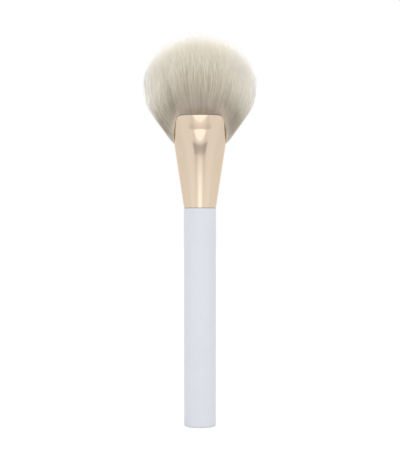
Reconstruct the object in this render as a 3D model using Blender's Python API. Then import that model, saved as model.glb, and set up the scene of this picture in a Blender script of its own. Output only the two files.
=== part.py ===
"""Large powder brush: a straight lacquered handle, a pinched metal ferrule with a notch punched in each
side, and a fanned tuft of tapered filaments whose roots are set in resin.

+Z runs up the brush from the centre of the handle's flat end face. X is the wide way of the tuft and -Y is
the front. All sizes are in metres.
"""

import math
import random

import bmesh
import bpy
from mathutils import Vector

# Fits and mesh fineness
SEAT_GAP = 0.0003  # kept between two pieces that seat on each other
CUT_OVERRUN = 0.002  # how far a cutter, and the stock it trims, run past the finished shape
ROUND_SEGMENTS = 48
FILLET_STEPS = 4
SMOOTH_ANGLE = math.radians(35)

# Handle
HANDLE_LENGTH = 0.0976  # end face to shoulder, the part of the handle that shows
HANDLE_DIAMETER = 0.0145
END_FILLET = 0.0008
SHOULDER_FILLET = 0.0002
TENON_LENGTH = 0.0135
TENON_CHAMFER = 0.0007
GROOVE_COUNT = 3
GROOVE_WIDTH = 0.0018
GROOVE_DEPTH = 0.0007

# Ferrule
FERRULE_LENGTH = 0.0410
FERRULE_WALL = 0.0005
MOUTH_WIDTH = 0.0271  # across the rim, as if the notches weren't there
BELLY_THICKNESS = 0.0183  # where the pressed faces begin
PINCH_LENGTH = 0.0116  # of the pressed faces, from the belly to the crease
CREASE_THICKNESS = 0.0167  # where the lip begins
LIP_LENGTH = 0.0068  # of the lip, from the crease to the rim
LIP_LEAN = math.radians(3.2)  # of the lip's faces just over the crease
RIM_THICKNESS = 0.0155
LIP_EXPONENT = 2.3  # of the lip's superellipse; 2 is a plain ellipse
NOTCH_DEPTH = 0.0128
NOTCH_LEAN = math.radians(20.5)  # of each edge of the notch from the brush's axis
NOTCH_BOTTOM_RADIUS = 0.0016
RIM_CORNER_RADIUS = 0.0020
CONE_RINGS = 3
PINCH_RINGS = 7
LIP_RINGS = 3

# Glue and resin inside the ferrule
GLUE_THICKNESS = 0.0006  # of the ring between tenon and ferrule, at the ferrule's foot
POTTING_THICKNESS = 0.0020
ROOT_THICKNESS = 0.0040  # of the resin-set roots that each row of bristles is fused to

# Tuft
TUFT_EXPOSED = 0.0355  # rim to the highest tip
FLANK_WIDTH = 0.0424  # at the rim's level, of the hair that leaves by the notches
SHOULDER_RISE = 0.0081  # rim to the level where the flanks of the tuft turn up
SHOULDER_WIDTH = 0.0496
SHOULDER_THICKNESS = 0.0262
CROWN_LEAN = math.radians(5)  # of the outermost bristles from the axis, over the shoulder
DOME_WIDTH = 0.0508
DOME_THICKNESS = 0.0290
DOME_RISE = 0.0234  # from the dome's widest level to the highest tip
NOTCH_CLEARANCE = 0.0008  # between a bristle that leaves by the notch and the notch's edge
TIP_SCATTER = 0.0014
SCATTER_SEED = 11
ROW_COUNT = 7  # rows of bristles from front to back, each its own piece
LINES_PER_ROW = 3
WIDEST_ROW_COLUMNS = 18
OUTER_LINE_SHARE = 0.94  # depth of the front and back lines as a share of the root's half thickness
BISECTIONS = 24
# The girth of a bristle at each of its levels, as a share of its cell
RIM_GIRTH_SHARE = 0.95
SHOULDER_GIRTH_SHARE = 0.94
TAPER_GIRTH_SHARE = 0.86
TAPER_HEIGHT_SHARE = 0.84  # of the way from the shoulder to the tip, where the taper begins

# Heights that follow from the sizes above
FOOT_Z = HANDLE_LENGTH + SEAT_GAP
RIM_Z = FOOT_Z + FERRULE_LENGTH
LIP_Z = RIM_Z - LIP_LENGTH
BELLY_Z = LIP_Z - PINCH_LENGTH
NOTCH_Z = RIM_Z - NOTCH_DEPTH
TENON_TOP_Z = HANDLE_LENGTH + TENON_LENGTH
POTTING_Z = TENON_TOP_Z + SEAT_GAP
ROOT_Z = POTTING_Z + POTTING_THICKNESS + SEAT_GAP
ROOT_TOP_Z = ROOT_Z + ROOT_THICKNESS
TUFT_TOP_Z = RIM_Z + TUFT_EXPOSED
DOME_Z = TUFT_TOP_Z - DOME_RISE
SHOULDER_Z = RIM_Z + SHOULDER_RISE

HANDLE_RADIUS = HANDLE_DIAMETER / 2
TENON_RADIUS = HANDLE_RADIUS - FERRULE_WALL - GLUE_THICKNESS - 2 * SEAT_GAP

# Slopes of the ferrule's faces, as growth of the half thickness with height
CONE_SLOPE = (BELLY_THICKNESS - HANDLE_DIAMETER) / 2 / (BELLY_Z - FOOT_Z)
CREASE_SLOPE = (CREASE_THICKNESS - BELLY_THICKNESS) / PINCH_LENGTH - CONE_SLOPE
LIP_SLOPE = -math.tan(LIP_LEAN)


def clear_scene():
    for old in list(bpy.data.objects):
        bpy.data.objects.remove(old)


def principled(name, colour, roughness, metallic=0.0):
    """A material with one Principled BSDF."""
    material = bpy.data.materials.new(name)
    material.use_nodes = True
    shader = material.node_tree.nodes["Principled BSDF"]
    shader.inputs["Base Color"].default_value = (*colour, 1.0)
    shader.inputs["Roughness"].default_value = roughness
    shader.inputs["Metallic"].default_value = metallic
    return material


def finish_object(name, bm, material):
    """Turns a bmesh into a smooth-shaded object with one material."""
    mesh = bpy.data.meshes.new(name)
    bm.to_mesh(mesh)
    bm.free()
    mesh.shade_smooth()
    mesh.set_sharp_from_angle(angle=SMOOTH_ANGLE)
    mesh.materials.append(material)
    made = bpy.data.objects.new(name, mesh)
    bpy.context.scene.collection.objects.link(made)
    return made


def arc(centre, radius, start, end, steps=FILLET_STEPS):
    """Points along an arc in a plane, from one angle to another, both ends included."""
    angles = [start + (end - start) * step / steps for step in range(steps + 1)]
    return [(centre[0] + radius * math.cos(a), centre[1] + radius * math.sin(a)) for a in angles]


def revolve(profile, segments=ROUND_SEGMENTS):
    """Spins a profile of (radius, z) points, which begins and ends on the axis, into a solid."""
    bm = bmesh.new()
    points = [bm.verts.new((radius, 0.0, z)) for radius, z in profile]
    edges = [bm.edges.new(pair) for pair in zip(points, points[1:])]
    bmesh.ops.spin(
        bm,
        geom=points + edges,
        cent=(0.0, 0.0, 0.0),
        axis=(0.0, 0.0, 1.0),
        angle=math.tau,
        steps=segments,
        use_merge=True,
    )
    bmesh.ops.remove_doubles(bm, verts=bm.verts, dist=SEAT_GAP / 100)
    bmesh.ops.recalc_face_normals(bm, faces=bm.faces)
    return bm


def bridge(bm, ring, next_ring):
    """A band of quads from one ring of vertices to the next."""
    for i in range(len(ring)):
        j = (i + 1) % len(ring)
        bm.faces.new((ring[i], ring[j], next_ring[j], next_ring[i]))


def smooth_step(value, low, high):
    """0 up to low, 1 from high on, and an S-curve between them."""
    share = min(max((value - low) / (high - low), 0.0), 1.0)
    return share * share * (3 - 2 * share)


def grooved_tenon(clearance):
    """The side of the tenon as (radius, z), from the shoulder to its chamfer, moved out by clearance."""
    radius = TENON_RADIUS + clearance
    points = [(radius, HANDLE_LENGTH + clearance)]
    pitch = TENON_LENGTH / (GROOVE_COUNT + 1)
    for groove in range(1, GROOVE_COUNT + 1):
        middle = HANDLE_LENGTH + groove * pitch
        points.append((radius, middle - GROOVE_WIDTH / 2))
        points.append((radius - GROOVE_DEPTH, middle))
        points.append((radius, middle + GROOVE_WIDTH / 2))
    points.append((radius, TENON_TOP_Z - TENON_CHAMFER))
    return points


def build_handle(material):
    """A turned dowel with a flat, rounded end and a grooved tenon that the ferrule is glued to."""
    quarter = math.pi / 2
    end_centre = (HANDLE_RADIUS - END_FILLET, END_FILLET)
    shoulder_centre = (HANDLE_RADIUS - SHOULDER_FILLET, HANDLE_LENGTH - SHOULDER_FILLET)
    profile = [(0.0, 0.0)]
    profile += arc(end_centre, END_FILLET, -quarter, 0.0)
    profile += arc(shoulder_centre, SHOULDER_FILLET, 0.0, quarter, steps=2)
    profile += grooved_tenon(0.0)
    profile.append((TENON_RADIUS - TENON_CHAMFER, TENON_TOP_Z))
    profile.append((0.0, TENON_TOP_Z))
    return finish_object("handle", revolve(profile), material)


def ferrule_half_width(z):
    """A straight cone across X, from the handle's diameter to the mouth's width."""
    grown = (MOUTH_WIDTH - HANDLE_DIAMETER) * (z - FOOT_Z) / FERRULE_LENGTH
    return (HANDLE_DIAMETER + grown) / 2


def pinch(z):
    """How far the pressing has flattened the cone at this height, from 0 to 1."""
    return smooth_step(z, BELLY_Z, LIP_Z)


def ferrule_half_thickness(z):
    """A cone across Y up to the belly, then bent in evenly to the crease, then a lip that turns in again."""
    if z < BELLY_Z:
        return HANDLE_RADIUS + CONE_SLOPE * (z - FOOT_Z)
    if z < LIP_Z:
        bent = z - BELLY_Z
        return BELLY_THICKNESS / 2 + CONE_SLOPE * bent + (CREASE_SLOPE - CONE_SLOPE) * bent**2 / PINCH_LENGTH / 2
    share = (z - LIP_Z) / LIP_LENGTH
    turned_in = (RIM_THICKNESS - CREASE_THICKNESS) / 2 - LIP_SLOPE * LIP_LENGTH
    return CREASE_THICKNESS / 2 + LIP_SLOPE * (z - LIP_Z) + turned_in * share**4


def ferrule_ring(bm, z, inset, segments=ROUND_SEGMENTS):
    """One closed ring of the ferrule's cross-section, taken in by inset from its outer surface."""
    half_width = ferrule_half_width(z) - inset
    half_thickness = ferrule_half_thickness(z) - inset
    power = 2 / (2 + (LIP_EXPONENT - 2) * pinch(z))
    ring = []
    for i in range(segments):
        angle = math.tau * i / segments
        across, deep = math.cos(angle), math.sin(angle)
        x = half_width * math.copysign(abs(across) ** power, across)
        y = half_thickness * math.copysign(abs(deep) ** power, deep)
        ring.append(bm.verts.new((x, y, z)))
    return ring


def ferrule_heights():
    """Levels of the ferrule's rings: few on the cone, close together where it is pinched."""
    heights = [FOOT_Z + (BELLY_Z - FOOT_Z) * i / CONE_RINGS for i in range(CONE_RINGS)]
    heights += [BELLY_Z + PINCH_LENGTH * i / PINCH_RINGS for i in range(PINCH_RINGS)]
    heights += [LIP_Z + LIP_LENGTH * i / LIP_RINGS for i in range(LIP_RINGS + 1)]
    return heights + [RIM_Z + CUT_OVERRUN]


def notch_outline():
    """The right half of the rim seen from the side, as (y, z) from the notch's bottom to the level rim."""
    lean_sin, lean_cos = math.sin(NOTCH_LEAN), math.cos(NOTCH_LEAN)
    radii = NOTCH_BOTTOM_RADIUS + RIM_CORNER_RADIUS
    edge_length = (NOTCH_DEPTH - radii + radii * lean_sin) / lean_cos
    corner_y = radii * lean_cos + edge_length * lean_sin
    bottom_centre = (0.0, NOTCH_Z + NOTCH_BOTTOM_RADIUS)
    corner_centre = (corner_y, RIM_Z - RIM_CORNER_RADIUS)
    bottom = arc(bottom_centre, NOTCH_BOTTOM_RADIUS, -math.pi / 2, -NOTCH_LEAN)
    corner = arc(corner_centre, RIM_CORNER_RADIUS, math.pi - NOTCH_LEAN, math.pi / 2)
    return bottom + corner


def build_rim_cutter():
    """A prism along X whose underside is the outline of rim and notches, as a trimming die cuts it."""
    half = notch_outline()
    reach = BELLY_THICKNESS / 2 + CUT_OVERRUN
    above = RIM_Z + 2 * CUT_OVERRUN
    outline = [(-y, z) for y, z in reversed(half[1:])] + half
    outline += [(reach, RIM_Z), (reach, above), (-reach, above), (-reach, RIM_Z)]
    bm = bmesh.new()
    side = MOUTH_WIDTH / 2 + CUT_OVERRUN
    face = bm.faces.new([bm.verts.new((-side, y, z)) for y, z in outline])
    grown = bmesh.ops.extrude_face_region(bm, geom=[face])
    moved = [item for item in grown["geom"] if isinstance(item, bmesh.types.BMVert)]
    bmesh.ops.translate(bm, verts=moved, vec=(2 * side, 0.0, 0.0))
    bmesh.ops.recalc_face_normals(bm, faces=bm.faces)
    mesh = bpy.data.meshes.new("rim_cutter")
    bm.to_mesh(mesh)
    bm.free()
    cutter = bpy.data.objects.new("rim_cutter", mesh)
    bpy.context.scene.collection.objects.link(cutter)
    cutter.hide_render = True
    cutter.display_type = "WIRE"
    return cutter


def build_ferrule(material):
    """A drawn shell, round at the handle and pinched at the mouth, with its rim and notches trimmed."""
    bm = bmesh.new()
    heights = ferrule_heights()
    outer = [ferrule_ring(bm, z, 0.0) for z in heights]
    inner = [ferrule_ring(bm, z, FERRULE_WALL) for z in heights]
    for ring, next_ring in zip(outer, outer[1:]):
        bridge(bm, ring, next_ring)
    for ring, next_ring in zip(inner, inner[1:]):
        bridge(bm, next_ring, ring)
    bridge(bm, outer[-1], inner[-1])
    bridge(bm, inner[0], outer[0])
    ferrule = finish_object("ferrule", bm, material)
    trim = ferrule.modifiers.new("trim_rim_and_notches", "BOOLEAN")
    trim.operation = "DIFFERENCE"
    trim.object = build_rim_cutter()
    return ferrule


def build_handle_adhesive(material):
    """The ring of set glue between the tenon and the flaring ferrule, keyed into the tenon's grooves."""
    bm = bmesh.new()
    low = ferrule_ring(bm, FOOT_Z, FERRULE_WALL + SEAT_GAP)
    high = ferrule_ring(bm, TENON_TOP_Z, FERRULE_WALL + SEAT_GAP)
    angles = [math.tau * i / ROUND_SEGMENTS for i in range(ROUND_SEGMENTS)]
    profile = grooved_tenon(SEAT_GAP)
    profile.append((TENON_RADIUS + SEAT_GAP, TENON_TOP_Z))
    bore = [[bm.verts.new((r * math.cos(a), r * math.sin(a), z)) for a in angles] for r, z in profile]
    bridge(bm, low, high)
    bridge(bm, high, bore[-1])
    for ring, next_ring in zip(bore, bore[1:]):
        bridge(bm, next_ring, ring)
    bridge(bm, bore[0], low)
    return finish_object("handle_adhesive", bm, material)


def build_root_potting(material):
    """The plate of resin poured over the roots from the handle's side, which closes the ferrule."""
    bm = bmesh.new()
    inset = FERRULE_WALL + SEAT_GAP
    low = ferrule_ring(bm, POTTING_Z, inset)
    high = ferrule_ring(bm, POTTING_Z + POTTING_THICKNESS, inset)
    bridge(bm, low, high)
    bm.faces.new(list(reversed(low)))
    bm.faces.new(high)
    return finish_object("root_potting", bm, material)


def spread(z, rim, shoulder):
    """Half size of the tuft at a height above the rim: straight to the shoulder, and steeper over it."""
    if z < SHOULDER_Z:
        return rim + (shoulder - rim) * (z - RIM_Z) / SHOULDER_RISE
    return shoulder + math.tan(CROWN_LEAN) * (z - SHOULDER_Z)


def tuft_half_thickness(z):
    """Half depth of the tuft, which narrows evenly from the resin to the pinched rim before it spreads."""
    root = ferrule_half_thickness(ROOT_TOP_Z) - FERRULE_WALL - SEAT_GAP
    rim = ferrule_half_thickness(RIM_Z) - FERRULE_WALL - SEAT_GAP
    if z < RIM_Z:
        return root + (rim - root) * (z - ROOT_TOP_Z) / (RIM_Z - ROOT_TOP_Z)
    return spread(z, rim, SHOULDER_THICKNESS / 2)


def edge_height(deep):
    """Height at which a bristle at this share of the depth clears the ferrule's edge beside it."""
    wanted = abs(deep) * tuft_half_thickness(NOTCH_Z) + NOTCH_CLEARANCE
    outline = notch_outline()
    for (y, z), (next_y, next_z) in zip(outline, outline[1:]):
        if next_y >= wanted and next_z < RIM_Z - RIM_CORNER_RADIUS / 2:
            return z + (next_z - z) * (wanted - y) / (next_y - y)
    return RIM_Z


def packed_half_width(z):
    """Half width of the hair inside the ferrule."""
    return ferrule_half_width(z) - FERRULE_WALL - SEAT_GAP


def tuft_half_width(deep, z):
    """Half width of the tuft at a share of its depth. Over the ferrule's edge it fans out, in every line as
    steeply as in the middle one, and over the rim all lines bend to the same shoulder."""
    edge = edge_height(deep)
    if z < edge:
        return packed_half_width(z)
    lowest = edge_height(0)
    flank_slope = (FLANK_WIDTH / 2 - packed_half_width(lowest)) / (RIM_Z - lowest)
    if z < RIM_Z:
        return packed_half_width(edge) + flank_slope * (z - edge)
    return spread(z, packed_half_width(edge) + flank_slope * (RIM_Z - edge), SHOULDER_WIDTH / 2)


def tuft_point(across, deep, z, line):
    """Where the bristle at these shares of the tuft's half sizes is at height z. line is the share of the
    depth that its line of bristles follows. Bristles whose shares differ never meet, because each level
    only stretches the one below it."""
    return Vector((across * tuft_half_width(line, z), deep * tuft_half_thickness(z), z))


def tip_height(across, deep):
    """Height at which a bristle reaches the dome that the tuft is trimmed to."""
    low, high = DOME_Z, TUFT_TOP_Z
    for _ in range(BISECTIONS):
        z = (low + high) / 2
        point = tuft_point(across, deep, z, deep)
        width_share = 2 * point.x / DOME_WIDTH
        thickness_share = 2 * point.y / DOME_THICKNESS
        height_share = (z - DOME_Z) / DOME_RISE
        if width_share**2 + thickness_share**2 + height_share**2 < 1:
            low = z
        else:
            high = z
    return low


def bristle_levels(edge, tip):
    """The height and girth share of each ring of a bristle, from the ferrule's edge to near the tip."""
    taper_z = SHOULDER_Z + (tip - SHOULDER_Z) * TAPER_HEIGHT_SHARE
    levels = [(RIM_Z, RIM_GIRTH_SHARE), (SHOULDER_Z, SHOULDER_GIRTH_SHARE), (taper_z, TAPER_GIRTH_SHARE)]
    if edge < RIM_Z:
        levels.insert(0, (edge, RIM_GIRTH_SHARE))
    return levels


def add_bristle(bm, base, shares, scatter):
    """Raises a tapered, pointed, three-sided bristle from a triangle of root vertices. shares are the
    triangle's corners as shares of the root's half sizes."""
    across = sum(a for a, _ in shares) / len(shares)
    deep = sum(d for _, d in shares) / len(shares)
    tip = tip_height(across, deep) - scatter
    ring = base
    for z, girth in bristle_levels(edge_height(deep), tip):
        next_ring = []
        for corner_across, corner_deep in shares:
            a = across + (corner_across - across) * girth
            d = deep + (corner_deep - deep) * girth
            next_ring.append(bm.verts.new(tuft_point(a, d, z, deep)))
        bridge(bm, ring, next_ring)
        ring = next_ring
    point = bm.verts.new(tuft_point(across, deep, tip, deep))
    for i in range(len(ring)):
        bm.faces.new((ring[i], ring[(i + 1) % len(ring)], point))


def build_bristle_row(number, scatter_source, material):
    """One row of bristles from side to side, fused to its slice of the resin-set roots."""
    pitch = 2 * OUTER_LINE_SHARE / ROW_COUNT
    slit = SEAT_GAP / 2 / tuft_half_thickness(ROOT_TOP_Z)
    first = -OUTER_LINE_SHARE + pitch * number + slit
    last = first + pitch - 2 * slit
    middle = (first + last) / 2
    columns = round(WIDEST_ROW_COLUMNS * math.sqrt(1 - middle * middle))
    bm = bmesh.new()
    lines = []
    for line in range(LINES_PER_ROW + 1):
        deep = first + (last - first) * line / LINES_PER_ROW
        chord = math.sqrt(1 - deep * deep)
        shares = [(chord * (2 * column / columns - 1), deep) for column in range(columns + 1)]
        lines.append([(bm.verts.new(tuft_point(a, d, ROOT_TOP_Z, d)), (a, d)) for a, d in shares])
    for near, far in zip(lines, lines[1:]):
        for column in range(columns):
            corners = (near[column], near[column + 1], far[column])
            scatter = TIP_SCATTER * scatter_source.random()
            add_bristle(bm, [c[0] for c in corners], [c[1] for c in corners], scatter)
            bm.faces.new((near[column + 1][0], far[column + 1][0], far[column][0]))
    rim = [vertex for vertex, _ in lines[0]]
    rim += [line[-1][0] for line in lines[1:-1]]
    rim += [vertex for vertex, _ in reversed(lines[-1])]
    rim += [line[0][0] for line in reversed(lines[1:-1])]
    taper = ferrule_half_width(ROOT_TOP_Z) - ferrule_half_width(ROOT_Z)
    chord_share = 1 - taper / tuft_half_width(0.0, ROOT_TOP_Z)
    foot = [bm.verts.new((v.co.x * chord_share, v.co.y, ROOT_Z)) for v in rim]
    bridge(bm, foot, rim)
    bm.faces.new(list(reversed(foot)))
    return finish_object(f"bristle_row_{number + 1}", bm, material)


def main():
    clear_scene()
    lacquer = principled("lacquered_wood", (0.76, 0.79, 0.86), 0.28)
    gold = principled("champagne_aluminium", (0.72, 0.57, 0.42), 0.25, metallic=1.0)
    glue = principled("set_glue", (0.80, 0.76, 0.62), 0.35)
    filament = principled("tapered_filament", (0.62, 0.56, 0.45), 0.55)
    build_handle(lacquer)
    build_ferrule(gold)
    build_handle_adhesive(glue)
    build_root_potting(glue)
    scatter_source = random.Random(SCATTER_SEED)
    for number in range(ROW_COUNT):
        build_bristle_row(number, scatter_source, filament)


main()
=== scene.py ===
"""Looks of the large powder brush: its lacquered handle, champagne ferrule and fine fanned filaments.

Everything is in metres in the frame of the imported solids: +Z runs up the brush from the handle's flat end,
X is the wide way of the tuft and -Y is the front.
"""

import math

import bmesh
import bpy
import numpy as np
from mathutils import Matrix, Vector


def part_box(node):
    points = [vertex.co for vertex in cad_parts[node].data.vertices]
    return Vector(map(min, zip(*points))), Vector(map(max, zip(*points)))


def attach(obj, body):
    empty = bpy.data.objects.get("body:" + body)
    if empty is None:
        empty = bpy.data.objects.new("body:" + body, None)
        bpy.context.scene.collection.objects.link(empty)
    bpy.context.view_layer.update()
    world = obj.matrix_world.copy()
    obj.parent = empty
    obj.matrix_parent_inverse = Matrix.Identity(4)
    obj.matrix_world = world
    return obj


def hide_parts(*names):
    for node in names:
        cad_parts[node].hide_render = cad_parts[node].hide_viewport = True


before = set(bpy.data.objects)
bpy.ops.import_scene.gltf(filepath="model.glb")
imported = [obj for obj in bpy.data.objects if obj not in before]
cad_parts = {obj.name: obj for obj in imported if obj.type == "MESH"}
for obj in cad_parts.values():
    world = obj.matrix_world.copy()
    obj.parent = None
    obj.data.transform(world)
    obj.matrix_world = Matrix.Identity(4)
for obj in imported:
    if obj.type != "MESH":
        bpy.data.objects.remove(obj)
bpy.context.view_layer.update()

BODY = "root"
MM = 0.001
WHITE = (1.0, 1.0, 1.0, 1.0)

# The photograph and its camera
PHOTO_HEIGHT = 467  # in pixels
PIXEL = 0.00045  # real size of a pixel at the brush's axis
CAMERA_DISTANCE = 0.460
CAMERA_HEIGHT = 0.0863
SENSOR_WIDTH = 36.0  # in millimetres, over the photograph's longer side, its height

# Surroundings: 1 is the white of the background
SURROUND = 1.15  # how bright they light and reflect
BRIGHTEST = 2.0  # of the tones, because a ramp holds 1 at most
LOWEST_SINE = -0.3  # of the elevations that the tones cover
HIGHEST_SINE = 0.5
# Tones on the camera's side, which the metal mirrors, in columns by how far aside they are. Each column lists
# the sine of the elevation and the tone there. Together they show a bright low card, the dark place of the
# camera and the dark frame of the overhead softbox.
TONE_COLUMNS = [
    (0.00, [(-0.14, 1.92), (-0.12, 1.68), (-0.10, 1.25), (-0.09, 1.00),
            (0.0, 0.76), (0.14, 0.63), (0.20, 0.93), (0.22, 1.14)]),
    (0.17, [(-0.14, 1.62), (-0.12, 1.46), (-0.10, 1.07), (-0.09, 0.87),
            (0.0, 0.65), (0.15, 0.58), (0.20, 0.88), (0.23, 1.12)]),
    (0.23, [(-0.14, 1.40), (-0.12, 1.30), (-0.10, 1.00), (-0.09, 0.83),
            (0.0, 0.60), (0.18, 0.58), (0.21, 0.84), (0.45, 1.0)]),
    (0.29, [(-0.14, 1.25), (-0.12, 1.15), (-0.10, 0.90), (-0.09, 0.78),
            (0.0, 0.57), (0.16, 0.56), (0.20, 0.9), (0.22, 1.06)]),
    (0.35, [(-0.14, 1.15), (-0.12, 1.08), (-0.10, 0.92), (-0.09, 0.80),
            (0.0, 0.60), (0.16, 0.60), (0.19, 0.9), (0.21, 1.06)]),
    (0.42, [(-0.14, 1.17), (-0.12, 1.09), (-0.10, 1.05), (-0.05, 1.06), (0.5, 1.07)]),
    (0.75, [(-0.14, 1.18), (-0.11, 1.09), (0.5, 1.06)]),
    (1.00, [(-0.14, 1.05), (-0.11, 0.99), (0.5, 1.00)]),
]
FAR_TONES = [(-0.14, 1.08), (-0.08, 1.0), (0.5, 1.0)]  # on the side away from the camera
FAR_FADE = (-0.4, 0.0)  # of the direction's y, over which these take over from the columns
FLOOR_GLOW = 0.1  # a table lit from below
FLOOR_REACH = 6.0  # to the sides and to the back
FLOOR_FRONT = 0.60  # to the front, a little past the camera
FLOOR_CELLS = 8

# Colours of the lightly clouded materials, by the strength of the cloud
LACQUER_COLOURS = [(0.3, (0.515, 0.532, 0.566)), (0.7, (0.531, 0.547, 0.578))]
CHAMPAGNE_COLOURS = [
    (0.3, (0.605, 0.480, 0.385)),
    (0.5, (0.600, 0.493, 0.388)),
    (0.7, (0.592, 0.497, 0.374)),
]
CHAMPAGNE_SHEEN = (1.0, 0.92, 0.82, 1.0)
RESIN_COLOURS = [(0.3, (0.60, 0.50, 0.30)), (0.7, (0.74, 0.66, 0.45))]
FLOOR_COLOURS = [(0.3, (0.90, 0.90, 0.90)), (0.7, (0.92, 0.92, 0.92))]

# Handle, from its solid
handle_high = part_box("handle")[1]
HANDLE_RADIUS = handle_high.x
TENON_TOP_Z = handle_high.z
TENON_LENGTH = 0.0135
SHOULDER_Z = TENON_TOP_Z - TENON_LENGTH
END_FILLET = 0.0008
SHOULDER_FILLET = 0.0002
TENON_RADIUS = 0.00555
TENON_CHAMFER = 0.0007
GROOVE_COUNT = 3
GROOVE_WIDTH = 0.0018
GROOVE_DEPTH = 0.0007
HANDLE_SEGMENTS = 128
HANDLE_SHARP_ANGLE = math.radians(35)
END_FILLET_STEPS = 8
SHOULDER_FILLET_STEPS = 4

# Ferrule, from its solid and the sizes that it was pressed to
ferrule_low, ferrule_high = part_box("ferrule")
FOOT_Z = ferrule_low.z
RIM_Z = ferrule_high.z
FERRULE_LENGTH = RIM_Z - FOOT_Z
FERRULE_WALL = 0.0005
MOUTH_WIDTH = 0.0271
BELLY_THICKNESS = 0.0183  # where the pressed faces begin
PINCH_LENGTH = 0.0116  # of the pressed faces, from the belly to the crease
CREASE_THICKNESS = 0.0167  # where the lip begins
LIP_LENGTH = 0.0068  # of the lip, from the crease to the rim
LIP_LEAN = math.radians(3.2)  # of the lip's faces just over the crease
RIM_THICKNESS = 0.0155
LIP_EXPONENT = 2.3  # of the lip's superellipse; 2 is a plain ellipse
LIP_CURL = 4  # power of the height by which the lip turns in towards the rim
NOTCH_DEPTH = 0.0128
NOTCH_LEAN = math.radians(20.5)
NOTCH_BOTTOM_RADIUS = 0.0016
RIM_CORNER_RADIUS = 0.0020
NOTCH_ARC_STEPS = 16
RIM_FILLET = 0.00016
FOOT_OVERHANG = 0.00025  # of the shell below the solid's foot, nearly down to the handle's shoulder
NOTCH_Z = RIM_Z - NOTCH_DEPTH
LIP_Z = RIM_Z - LIP_LENGTH
BELLY_Z = LIP_Z - PINCH_LENGTH
# Slopes of the ferrule's faces, as growth of the half thickness with height
CONE_SLOPE = (BELLY_THICKNESS / 2 - HANDLE_RADIUS) / (BELLY_Z - FOOT_Z)
CREASE_SLOPE = (CREASE_THICKNESS - BELLY_THICKNESS) / PINCH_LENGTH - CONE_SLOPE
LIP_SLOPE = -math.tan(LIP_LEAN)
# Slope of its sides, as growth of the half width with height
SIDE_SLOPE = (MOUTH_WIDTH / 2 - HANDLE_RADIUS) / FERRULE_LENGTH

# Mesh of the ferrule: columns round it, and rings from its foot to its edge
FERRULE_COLUMNS = 320
COLUMN_CROWDING = 0.3  # how much closer together the columns stand round the notches
BISECTIONS = 40
CONE_RINGS = 8  # up to the belly
PINCHED_RINGS = 8  # from there to the fork
CREASE_RINGS = 14  # from there to the crease
LIP_RINGS = 12  # from there to the edge
EDGE_RINGS = 3  # on each side of the rounded edge
FORK_Z = NOTCH_Z - 0.0016  # from where the rings are drawn to the edge
CREASE_SHARE = 0.75  # the most of the way from the fork to the edge that the crease takes
FERRULE_SHARP_ANGLE = math.radians(40)

# Painted reflection: an orange tint in the metal's colour beside a notch, standing in for the warm filaments
# that the metal mirrors there. It is widest low down and fades out at the notch's ends
NOTCH_PAINTED_REFLECTION = (0.62, 0.39, 0.20, 1.0)
REFLECTION_START = 0.0001  # from the notch's side, where it begins to fade
REFLECTION_REACH = 0.0007  # from the notch's side, where it has faded out
REFLECTION_EXTRA_REACH = 0.0019  # how much further that is low down
REFLECTION_WIDE_Z = NOTCH_Z + 0.002  # up to where it is widest
REFLECTION_NARROW_Z = RIM_Z - 0.002  # where it is narrowest and begins to fade out upwards
REFLECTION_LOW_FADE = 0.003
REFLECTION_HIGH_FADE = 0.001

# Tuft: strands all over a dome, from which their tips stand out
LAYER_COUNT = 7
STRAND_COUNT = 24400
STRAND_SEED = 11
CLUMP_COUNT = 1500
EVEN_STEPS = np.array([0.7548776662, 0.5698402910])  # whose multiples fill the unit square without clusters
WIDEST_ACROSS = 0.995  # place across of the outermost strands
SURFACE_CROWDING = 0.35  # how much closer together strands stand near the front and the back
DOME_Z = 0.1520
DOME_TOP_Z = 0.1771
DOME_HALF_WIDTH = 0.0260
DOME_HALF_THICKNESS = 0.0152
LOWEST_TIP_Z = DOME_Z - 0.004

# Resin-set roots, a slab for each layer
ROOT_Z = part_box("bristle_row_1")[0].z
ROOT_THICKNESS = 0.0040
ROOT_TOP_Z = ROOT_Z + ROOT_THICKNESS
SLABS_DEPTH = 0.94  # share of the ferrule's inner depth that the slabs fill
SLAB_MARGIN = 0.015  # share of it that is free at a slab's front, and at its back
SLAB_ROOM = 0.0003  # between the slabs and the ferrule's wall
SLAB_SIDE_POINTS = 7
SLAB_MAP_CORNER = np.array([0.50, 0.01])
SLAB_MAP_SIZE = 0.01

# Paths of the strands
PATH_LEVELS = 240
PATH_START_Z = ROOT_TOP_Z - 0.0005
PATH_END_Z = DOME_TOP_Z + 0.004
STRAND_ROOM = 0.00035  # between the outermost strands and the ferrule's wall
FLANK_POWER = 4  # of the place across, which says how much a strand follows the tuft's outline
INNER_SLOPE = 0.62  # by which the other strands fan out, as a share of their place across
INNER_BENDS = [(0.30, 0.142, 0.154), (0.15, 0.152, 0.170)]  # how much steeper they get between two heights
TURN_START = 0.0001  # below the ferrule's edge, where strands begin to turn from its cone to the fan
TURN_LENGTH = 0.0003  # above the edge, where flank strands have turned
INNER_TURN_LENGTH = 0.0015  # how much later inner strands have turned
FRONT_SLOPE = 0.58  # by which the front and the back spread over the rim
FRONT_START = 0.0015  # above the rim, where that slope is reached
FRONT_BEND = (0.142, 0.158)  # heights between which it ends
ROUNDING = 0.0050  # above the edge, where the rows have gone over from the mouth's shape to the dome's
BULGE = 0.0006  # how far strands step out over the ferrule's edge
BULGE_POWER = 4  # which keeps the step to the strands near the wall
BULGE_SIDE_POWER = 12  # which keeps it away from the outline
BULGE_START = 0.0002  # below the edge
BULGE_END = 0.0018  # above the edge
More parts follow.
